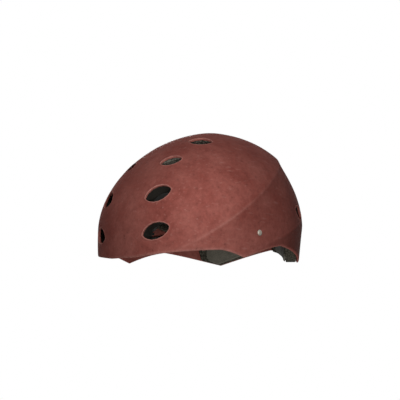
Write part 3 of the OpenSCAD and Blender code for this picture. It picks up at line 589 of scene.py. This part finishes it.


# The rim is rubbed most, then the upper crease about 40 mm up, partly as a painted highlight; painted
# shade starts 18 mm behind the axis, and below the lower crease from the ears back. Widths and
# distances are in millimetres.
# The painted line of the lower crease, its highlight and its shade, runs at this slant.
painted_line_slant = 0.4
ahead = np.hypot(grid[..., 0], grid[..., 1] - axis_y) * np.cos(np.radians(turns))
below_upper = upper_crease["level"] - upper_crease["slant"] * ahead - levels
below_lower = lower_crease["level"] - painted_line_slant * ahead - levels
# Crease ridges: paler wear, partly a painted highlight, strongest about 40 mm up.
ridge_wear_and_highlight = (0.14 + 0.3 * band(levels - 40, 22)) * band(below_upper, 1.8) + 0.1 * band(below_lower, 1.4)
edge = 0.7 * band(levels - rim, 1.7)
side_turn = np.abs((turns + 180) % 360 - 180)
to_rear = np.clip((-ahead - 18) / 80, 0, 1)
under_crease = np.clip((below_lower - 1) / 2.5, 0, 1) * np.clip((side_turn - 78) / 20, 0, 1)
# Painted shade: darker towards the rear, and below the lower crease from the ears back.
painted_shade = 0.52 * to_rear * to_rear * (3 - 2 * to_rear) + 0.26 * under_crease
outside = (insets <= roll)[:, None]
wear_and_painted_light_grid = np.where(outside, np.clip(ridge_wear_and_highlight + edge, 0, 1) - painted_shade, 0.0)
print("wear from", round(float(wear_and_painted_light_grid.min()), 2), "to", round(float(wear_and_painted_light_grid.max()), 2))

# %% [markdown]
# ## The shell with its vents
# Wall and lips are one mesh, as they are one moulding. Each lip starts on the outer face, rolls over the
# edge, goes through the wall and ends on the inner face.

# %% Shell with vents
lip = [(1.9, 0.1, 0, 0.0), (1.7, 0, 0.02, 0.05), (1.0, 0, 0.14, 0.3), (0.45, 0, 0.18, 0.85),
       (0.1, 0, 0.06, 1.0), (-0.05, 0.1, 0, 0.9), (-0.1, 0.25, 0, 0.35), (-0.1, 0.85, 0, 0.1),
       (0.1, 1, 0, 0.0), (0.8, 1, -0.14, 0.0), (4.2, 1, -0.1, 0.0), (4.2, 0.7, 0, 0.0)]
points, quads = vented(grid, outer_rows, grow_out=0.7, grow_in=2.0)
wall = {"points": points, "quads": quads, "wear": wear_and_painted_light_grid.ravel()}
shell = make_piece("shell_skin", [wall] + vent_rings(0.0, shell_wall, lip), shell_abs)
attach(shell, "helmet")
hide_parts("outer_shell")

# %% [markdown]
# ## The liner
# The foam is moulded separately and pressed into the shell. Its grid runs like the shell's, with a
# rounded edge, and the vents go on through it as short channels.

# %% Liner grid
columns, outer_rows, inner_rows = 400, 40, 96
turns = np.arange(columns) * 360.0 / columns
roll = 0.9
low = liner_level(turns) + roll
bend = np.radians(np.linspace(0, 90, 6))
first = wall_point(turns, low + (dome_height - liner_out - low) * rising(outer_rows)[::-1], liner_out)
low_out = wall_point(turns, low - roll * np.sin(bend)[1:, None], liner_out)
low_in = wall_point(turns, low - roll * np.cos(bend)[:, None], liner_in)
into = unit(low_in[-1] - low_out[-1])
first_bend = low_out + into * (roll * (1 - np.cos(bend[1:])))[:, None, None]
second_bend = low_in - into * (roll * (1 - np.sin(bend)))[:, None, None]
inside = wall_point(turns, low + (dome_height - liner_in - low) * rising(inner_rows)[1:], liner_in)
grid = np.concatenate([first, first_bend, second_bend, inside])
# The last value of each station marks the channel's faces, which take the foam's painted shade and light.
channel = [(4.4, 0, -0.1, 0), (2.0, 0, 0.1, 0.5), (0.6, 0, 0.12, 1), (0.1, 0.04, 0, 1),
           (0, 0.2, 0, 1), (0, 0.5, 0, 1), (0, 0.85, 0, 1), (0.2, 0.96, 0, 1),
           (0.8, 1, -0.16, 0.5), (2.2, 1, -0.12, 0), (2.9, 1, 0.1, 0), (3.2, 0.8, 0, 0)]
points, quads = vented(grid, outer_rows, grow_out=2.2, grow_in=0.9)
rings = vent_rings(liner_out, liner_in, channel)
liner = make_piece("liner_foam", [{"points": points, "quads": quads}] + rings, bead_foam)
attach(liner, "helmet")
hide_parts("foam_liner")

# %% [markdown]
# ## Pads
# Each pad is a knitted cover sewn round soft foam and held to the liner by hook tape. It starts as
# two curved faces, the back on the liner and the front crowned, joined at a low side wall. The front
# dips along a sewn line inside the border, with a row of stitches.

# %% Pad shapes
seam_border, seam_depth, seam_width = 4.0, 0.9, 0.9
stitch_pitch, stitch_length, stitch_half, stitch_wear = 3.6, 2.2, 0.7, 0.8
corner_cut, side_draw, border_share, pad_thickness = 0.16, 0.03, 0.35, 5.6


def shifted(share, other):
    """A pad's outline: corners cut back and sides drawn in a little, towards the middle."""
    narrowing = corner_cut * np.abs(2 * other - 1) ** 5 + side_draw * (1 - (2 * other - 1) ** 2)
    return 0.5 + (share - 0.5) * (1 - narrowing)


def pad_parts(skin, across, up, size, thickness):
    """A closed pad: skin(u, v, depth) gives points; the front is crowned and dips along a sewn line."""
    u, v = np.meshgrid(np.linspace(0, 1, across), np.linspace(0, 1, up), indexing="ij")
    crown = np.maximum(0, (1 - np.abs(2 * u - 1) ** 3) * (1 - np.abs(2 * v - 1) ** 3))
    swell = border_share + (1 - border_share) * np.sqrt(crown)
    border = np.minimum(np.minimum(u, 1 - u) * size[0], np.minimum(v, 1 - v) * size[1])
    groove = seam_depth * band(border - seam_border, seam_width)
    run = (u * size[0] + v * size[1]) % stitch_pitch
    on_seam = np.abs(border - seam_border) < stitch_half
    stitch = np.where(on_seam & (run < stitch_length), stitch_wear, 0.0)
    back_face = skin(u, v, np.zeros_like(u)).reshape(-1, 3)
    front_face = skin(u, v, thickness * swell - groove).reshape(-1, 3)
    quads = cells(across, up, False)
    flat = np.stack([u * size[0], v * size[1]], -1).reshape(-1, 2)
    number = np.arange(across * up).reshape(across, up)
    loop = np.concatenate([number[:, 0], number[-1, 1:], number[-2::-1, -1], number[0, -2:0:-1]])
    side = np.concatenate([back_face[loop], front_face[loop]])
    return [{"points": back_face * MM, "quads": quads[:, ::-1], "flat": flat, "held": np.ones(u.size)},
            {"points": front_face * MM, "quads": quads, "flat": flat, "wear": stitch.ravel()},
            {"points": side * MM, "quads": cells(2, len(loop), True)[:, ::-1],
             "flat": np.tile(flat[loop], (2, 1)), "held": np.repeat([1.0, 0.0], len(loop))}]


# %% [markdown]
# ## Swelling the covers
# Soft foam fills its cover unevenly. Blender's cloth swells each cover under a little pressure, with
# its back held still, which looks softer than a plain crown. How far a point moves is capped, so that
# the pad stays in the place of its solid.


# %% Swelling the covers
def swell_cover(piece, cap_mm=0.8, frames=16):
    """Cloth under pressure, with the held points pinned; the move of each point is capped, then kept."""
    count = len(piece.data.vertices)
    rest, held = np.zeros(count * 3, np.float32), np.zeros(count, np.float32)
    piece.data.vertices.foreach_get("co", rest)
    piece.data.attributes["held"].data.foreach_get("value", held)
    group = piece.vertex_groups.new(name="held")
    group.add(np.flatnonzero(held > 0.5).tolist(), 1.0, "REPLACE")
    cloth = piece.modifiers.new("cloth", "CLOTH")
    cloth.settings.vertex_group_mass = "held"
    cloth.settings.use_pressure, cloth.settings.uniform_pressure_force = True, 4.0
    cloth.settings.effector_weights.gravity = 0.0
    cloth.settings.tension_stiffness, cloth.settings.bending_stiffness = 40.0, 2.0
    cloth.point_cache.frame_start, cloth.point_cache.frame_end = 1, frames
    for step in range(1, frames + 1):
        scene.frame_set(step)
    apply_modifiers(piece)
    moved = np.zeros(count * 3, np.float32)
    piece.data.vertices.foreach_get("co", moved)
    rest = rest.reshape(-1, 3)
    move = moved.reshape(-1, 3) - rest
    far = np.linalg.norm(move, axis=1, keepdims=True)
    kept = rest + move * np.minimum(1, cap_mm * MM / np.maximum(far, 1e-9))
    piece.data.vertices.foreach_set("co", kept.astype(np.float32).ravel())
    piece.vertex_groups.clear()
    scene.frame_set(1)
    print(piece.name, "swelled by up to", round(float(np.minimum(far, cap_mm * MM).max() / MM), 2), "mm")


def finish_pad(name, node, body, parts):
    """Makes a pad, swells it, rounds it once more, and puts it in the place of its solid."""
    piece = make_piece(name, parts, knit)
    swell_cover(piece)
    smooth = piece.modifiers.new("round", "SUBSURF")
    smooth.levels = smooth.render_levels = 1
    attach(piece, body)
    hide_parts(node)
    return piece


# %% [markdown]
# ## Pads on the liner
# Brow, crown, temples and nape each have a pad that follows the liner. The wall's formula places them,
# so they need no fitting. Their edges run at one level or along the rim, and the pads of the left side
# are mirrored for the right.


# %% Pads on the liner
def wall_pad(node, turn_range, low, high, size, side=1, thickness=pad_thickness):
    """A pad on the liner between two turns; an edge is (1, height above the rim) or (0, level)."""
    def skin(u, v, depth):
        turn = turn_range[0] + (turn_range[1] - turn_range[0]) * shifted(u, v)
        bottom, top = (share * rim_level(turn) + height for share, height in (low, high))
        level = bottom + (top - bottom) * shifted(v, u)
        return wall_point(turn, level, lining + depth)
    parts = pad_parts(skin, int(size[0] / cell_size), int(size[1] / cell_size), size, thickness)
    parts = parts if side > 0 else [mirrored(part) for part in parts]
    return finish_pad(node.replace("pad", "cushion"), node, "helmet", parts)


cell_size = 1.8
pads = [wall_pad("brow_pad", (-38, 38), (1, 6), (1, 18), (148, 12)),
        wall_pad("front_crown_pad", (-17, 17), (0, 118), (0, 139), (40, 34)),
        wall_pad("rear_crown_pad", (163, 197), (0, 118), (0, 139), (44, 32))]
for side, word in ((1, "left"), (-1, "right")):
    pads.append(wall_pad(word + "_temple_pad", (44, 76), (0, 64), (0, 104), (56, 43), side))
    pads.append(wall_pad(word + "_nape_pad", (136.5, 168), (1, 0.5), (0, 37), (62, 34), side, thickness=4.2))

# %% [markdown]
# ## Nape cushion
# The cradle has a cushion of its own in front of the dial: a flat back on the housing's cover, and a
# crowned front towards the head. It rides with the cradle, so it tilts.

# %% Nape cushion on the cradle
rack_y, dial_level, cover_depth, cushion_size = 87.2688, 52.0, 4.3, (66, 27)


def cushion_skin(u, v, depth):
    """The nape cushion's faces: a flat rounded outline, its depth counted forwards from the cover."""
    return np.stack([cushion_size[0] / 2 * (1 - 2 * shifted(u, v)), rack_y - cover_depth - depth,
                     dial_level + cushion_size[1] / 2 * (2 * shifted(v, u) - 1)], -1)


cushion = pad_parts(cushion_skin, across=38, up=16, size=cushion_size, thickness=pad_thickness)
pads.append(finish_pad("nape_cushion_cover", "nape_cushion", "cradle", cushion))
print("pads:", len(pads))

# %% [markdown]
# ## Webbing straps
# The harness is 18 mm webbing, woven flat, which ends in its fittings. A strap is a thin rounded
# profile carried along a path: at each place the path gives where the outer face lies and which way
# is outwards, so that it can't twist, and the profile's edges bow a little towards the head.


# %% Strap profile
def carried(centre, outward, width, thickness, bow=0.0, corner=0.5):
    """A closed strip: a rounded oblong profile, set square to the path, follows every path point."""
    run = unit(np.gradient(centre, axis=0))
    side = unit(np.cross(outward, run))
    across = np.linspace(-1, 1, 11) * (width / 2 - corner)
    arc = np.radians(np.array([30, 60, 90]))
    top = np.stack([across, np.zeros(11)], -1)
    right = np.stack([width / 2 - corner + corner * np.sin(arc), corner - corner * np.cos(arc)], -1)
    low_right = np.stack([right[::-1, 0], thickness - right[::-1, 1]], -1)
    half = np.concatenate([top, right, low_right])
    ring = np.concatenate([half, np.array([0, thickness]) - half])
    depth = ring[:, 1] + bow * (2 * ring[:, 0] / width) ** 2
    points = centre[:, None] - outward[:, None] * depth[:, None] + side[:, None] * ring[:, 0][:, None]
    ends = np.stack([points[0].mean(0), points[-1].mean(0)])
    caps = np.repeat(ends[:, None], len(ring), 1)
    points = np.concatenate([caps[:1], points, caps[1:]])
    length = np.concatenate([[0], np.cumsum(np.linalg.norm(np.diff(centre, axis=0), axis=1))])
    length = np.concatenate([length[:1], length, length[-1:]])
    flat = np.stack(np.broadcast_arrays(length[:, None], (ring[:, 0] + width / 2)[None, :]), -1)
    return {"points": points.reshape(-1, 3) * MM, "quads": cells(len(points), len(ring), True)[:, ::-1],
            "flat": flat.reshape(-1, 2)}


# %% [markdown]
# ## Where the straps run
# A front strap rises from the bracket behind the rivet, a rear strap goes back to its plate, and the
# two halves of the chin strap are stowed up under the crown, where the buckle joins them. The paths
# are worked out on the wall's formula, so the webbing lies on the liner.

# %% Strap paths
strap_turn, divider_level = 86.0, 82.0
plate_line = wall_frame(strap_turn, divider_level, lining)[0]


def front_path():
    """From the bracket's bridge up the side: the inset eases from the bracket to the liner."""
    bracket_level, bend_from, bend_to, bracket_inset = 37.9, 43.2, 49, 7.1
    level = np.linspace(bracket_level, divider_level, 60)
    share = np.clip((level - bend_from) / (bend_to - bend_from), 0, 1)
    inset = bracket_inset + (lining - bracket_inset) * eased(share)
    centre = wall_point(strap_turn, level, inset)
    return centre, unit(np.cross(plate_line, unit(np.gradient(centre, axis=0))))


def rear_path():
    """Along the liner from beside the divider back and up to the rear plate."""
    axis = axis_y + crown_setback * (divider_level / dome_height) ** 2
    from_axis = wall_point(strap_turn, divider_level, lining)[:2] - [0, axis]
    beside_plate, rear_turn, rear_level = 13, 134, 92
    start = strap_turn + math.degrees(math.asin(beside_plate / np.linalg.norm(from_axis)))
    turn, level = np.linspace(start, rear_turn, 40), np.linspace(divider_level, rear_level, 40)
    return wall_point(turn, level, lining), wall_frame(turn, level, lining)[1]


def chin_path():
    """Up the liner past the divider, then one smooth curve to the buckle under the crown."""
    u = np.linspace(0, 1, 90)[:, None]
    low, high, on_liner, first_pull, last_pull = divider_level + 0.8, divider_level + 13.8, 0.2, 10, 20
    start = wall_point(strap_turn, high, lining)
    up = unit(start - wall_point(strap_turn, low, lining))
    buckle_end = np.array([28.8, 8.917, 123.3])
    s = np.clip((u - on_liner) / (1 - on_liner), 0, 1)
    curve = (start * (1 - s) ** 3 + (start + up * first_pull) * 3 * s * (1 - s) ** 2
             + (buckle_end + [last_pull, 0, 0]) * 3 * s ** 2 * (1 - s) + buckle_end * s ** 3)
    level = low + (high - low) * u[:, 0] / on_liner
    centre = np.where(u < on_liner, wall_point(strap_turn, level, lining), curve)
    across = plate_line * (1 - u) + np.array([0, 1, 0]) * u
    return centre, unit(np.cross(across, unit(np.gradient(centre, axis=0))))


# %% [markdown]
# ## Straps in their places
# Each strap follows the helmet, but for the right half of the chin strap, which crosses a joint: near
# the buckle it bends over to follow the tongue, and it is left without a body.

# %% Straps in their places
strap_width, strap_thickness, strap_bow = 18, 1.6, 0.45
straps = {}
for name, path in (("front", front_path()), ("rear", rear_path()), ("chin", chin_path())):
    part = carried(*path, strap_width, strap_thickness, strap_bow)
    print(name, "strap:", round(float(part["flat"][:, 0].max())), "mm")
    for word, shape in (("left", part), ("right", mirrored(part))):
        node = word + "_" + name + "_strap"
        strap = make_piece(node + "_webbing", [shape], webbing)
        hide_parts(node)
        straps[node] = strap
        if node != "right_chin_strap":
            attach(strap, "helmet")
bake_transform(straps["right_chin_strap"])

# %% [markdown]
# ## Cradle arms
# Each arm is a flexible nylon strip with an eye on the side pivot. Its rear end is fixed to a rack,
# so it flexes when the dial draws the racks in. The strip is carried along its arched path like a
# strap, and the eye is a profile turned about the pivot's axis.


# %% Cradle arms
def turned_ring(profile, centre, steps=56):
    """A closed ring: profile gives (place along X, radius), turned about the X axis through centre."""
    profile = np.array(profile + profile[:1], float)
    angle = np.arange(steps) * 2 * np.pi / steps
    x, radius = profile[:, :1], profile[:, 1:]
    y, z = centre[1] + radius * np.cos(angle), centre[2] + radius * np.sin(angle)
    points = np.stack(np.broadcast_arrays(x, y, z), -1)
    return {"points": points.reshape(-1, 3) * MM, "quads": cells(len(profile), steps, True)}


arm_start, arm_end = np.array([101.312, -15.644, 29.4]), np.array([45.6, 88.469, 52.0])
arm_fullness, first_angle = 1.45, 4
u = np.linspace(0, 1, 70)
sweep = np.radians(first_angle + (90 - first_angle) * u)
arm_span = arm_end - arm_start
arm_path = np.stack([arm_end[0] - arm_span[0] * np.maximum(0, np.cos(sweep)) ** arm_fullness,
                     arm_start[1] + arm_span[1] * np.sin(sweep) ** arm_fullness,
                     arm_start[2] + arm_span[2] * eased(u)], -1)
arm_out = unit(np.cross(unit(np.gradient(arm_path, axis=0)), np.array([0, 0, 1.0])))
strip = carried(arm_path, arm_out, width=11, thickness=2.4, corner=0.8)
eye_in, eye_out, eye_radius, bore, bevel, bore_bevel = 98.512, 101.712, 7.46, 4.06, 0.4, 0.44
eye = turned_ring([(eye_in, bore + bore_bevel), (eye_in, eye_radius - bevel),
                   (eye_in + bevel, eye_radius), (eye_out - bevel, eye_radius),
                   (eye_out, eye_radius - bevel), (eye_out, bore + bore_bevel),
                   (eye_out - bevel, bore), (eye_in + bevel, bore)], arm_start)
for side, word, parts in ((1, "left", [strip, eye]), (-1, "right", [mirrored(strip), mirrored(eye)])):
    arm = make_piece(word + "_arm_strip", parts, nylon)
    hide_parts(word + "_cradle_arm")
    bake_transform(arm)

# %% [markdown]
# ## Fittings that stay
# The rivets, plates, buckle and dial are rigid and their solids are already right, so they only take
# the finish of what they are made of.

# %% Finishes on the fittings
metals = ["left_side_rivet", "right_side_rivet", "left_rivet_washer", "right_rivet_washer",
          "housing_screws"]
gears = ["drive_pinion", "left_rack", "right_rack"]
finishes = dict.fromkeys(metals, steel) | dict.fromkeys(gears, acetal)
shown = [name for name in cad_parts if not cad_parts[name].hide_render]
for name in shown:
    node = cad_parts[name]
    node.data.materials.clear()
    node.data.materials.append(finishes.get(name, nylon))
print("fittings:", len(shown))

# %% [markdown]
# ## Floor
# The helmet stands on a pale paper floor, which fades out into the white and is seen only from above,
# because the photograph was taken from below the rim.

# %% Floor
paper, tree, place = new_material("matt_white_paper")
fibres = add(tree, "TexNoise", {"Vector": place, "Scale": per_mm(6), "Detail": 4.0})
sheet = add(tree, "Mix", {"Factor": fibres, "A": linear("#a9a7a3"), "B": linear("#b1afab")},
            data_type="RGBA")
shader = add(tree, "BsdfPrincipled", {"Base Color": sheet, "Roughness": 0.9,
                                      "Emission Color": linear("#f4f3f1"), "Emission Strength": 0.6})
under = add(tree, "NewGeometry").outputs["Backfacing"]
away = add(tree, "VectorMath", {0: place}, operation="LENGTH").outputs["Value"]
faded = add(tree, "MapRange", {"Value": away, "From Min": 0.2, "From Max": 0.75},
            interpolation_type="SMOOTHSTEP")
ray = add(tree, "LightPath").outputs
passed = ray["Is Shadow Ray"]
for other in (ray["Is Diffuse Ray"], under, faded):
    passed = add(tree, "Math", {0: passed, 1: other}, operation="MAXIMUM")
clear = add(tree, "BsdfTransparent")
both = add(tree, "MixShader", {0: passed, 1: shader, 2: clear})
add(tree, "OutputMaterial", {"Surface": both})
half_side, sink = 0.8, 0.0004
corners = np.array([[-1, -1], [1, -1], [1, 1], [-1, 1]]) * half_side
sheet_part = {"points": np.column_stack([corners, np.full(4, -sink)]), "quads": np.array([[0, 1, 2, 3]])}
floor = make_piece("floor", [sheet_part], paper)

# %% [markdown]
# ## Lamps
# The light is fitted to the photograph: a low lamp beside the camera reaches under the near rim, so
# the faces turned to the camera are the brightest, and a wide one overhead gives the soft falloff
# towards the rear. A small lamp at the side, one behind and one under the mouth keep the other sides
# and the inside readable.

# %% Lamps
# Each lamp has a turn and a rise in degrees, a distance and a size in metres, and a power in watts.
lamps = {"front": (52, -14, 0.9, 0.1, 3.1), "side": (50, 6, 0.3, 0.06, 0.165),
         "back": (230, 14, 0.9, 0.4, 3.0), "top": (8, 62, 1.2, 0.5, 3.6),
         "table": (180, -76, 0.7, 0.4, 1.2)}
for name, (turn, rise, distance, size, power) in lamps.items():
    light = bpy.data.objects.new(name, bpy.data.lights.new(name, "AREA"))
    light.data.size, light.data.energy = size, power
    light.visible_camera = False
    place_aimed(light, turn, rise, distance)
print("lamps:", list(lamps))

# %% [markdown]
# ## Background
# The background is white to the camera and in reflections, as in the photograph, but adds next to no
# light of its own, so that the lamps alone shape the helmet.

# %% Background
world = bpy.data.worlds.new("soft_room")
scene.world = world
world.use_nodes = True
tree = world.node_tree
tree.nodes.clear()
ray = add(tree, "LightPath").outputs
seen = ray["Is Camera Ray"]
for other in (ray["Is Glossy Ray"], ray["Is Transmission Ray"]):
    seen = add(tree, "Math", {0: seen, 1: other}, operation="MAXIMUM")
strength = add(tree, "MapRange", {"Value": seen, "To Min": 0.012})
glow = add(tree, "Background", {"Color": (1, 1, 1, 1), "Strength": strength})
add(tree, "OutputWorld", {"Surface": glow})
scene.view_settings.view_transform = "Standard"
print("world:", world.name)
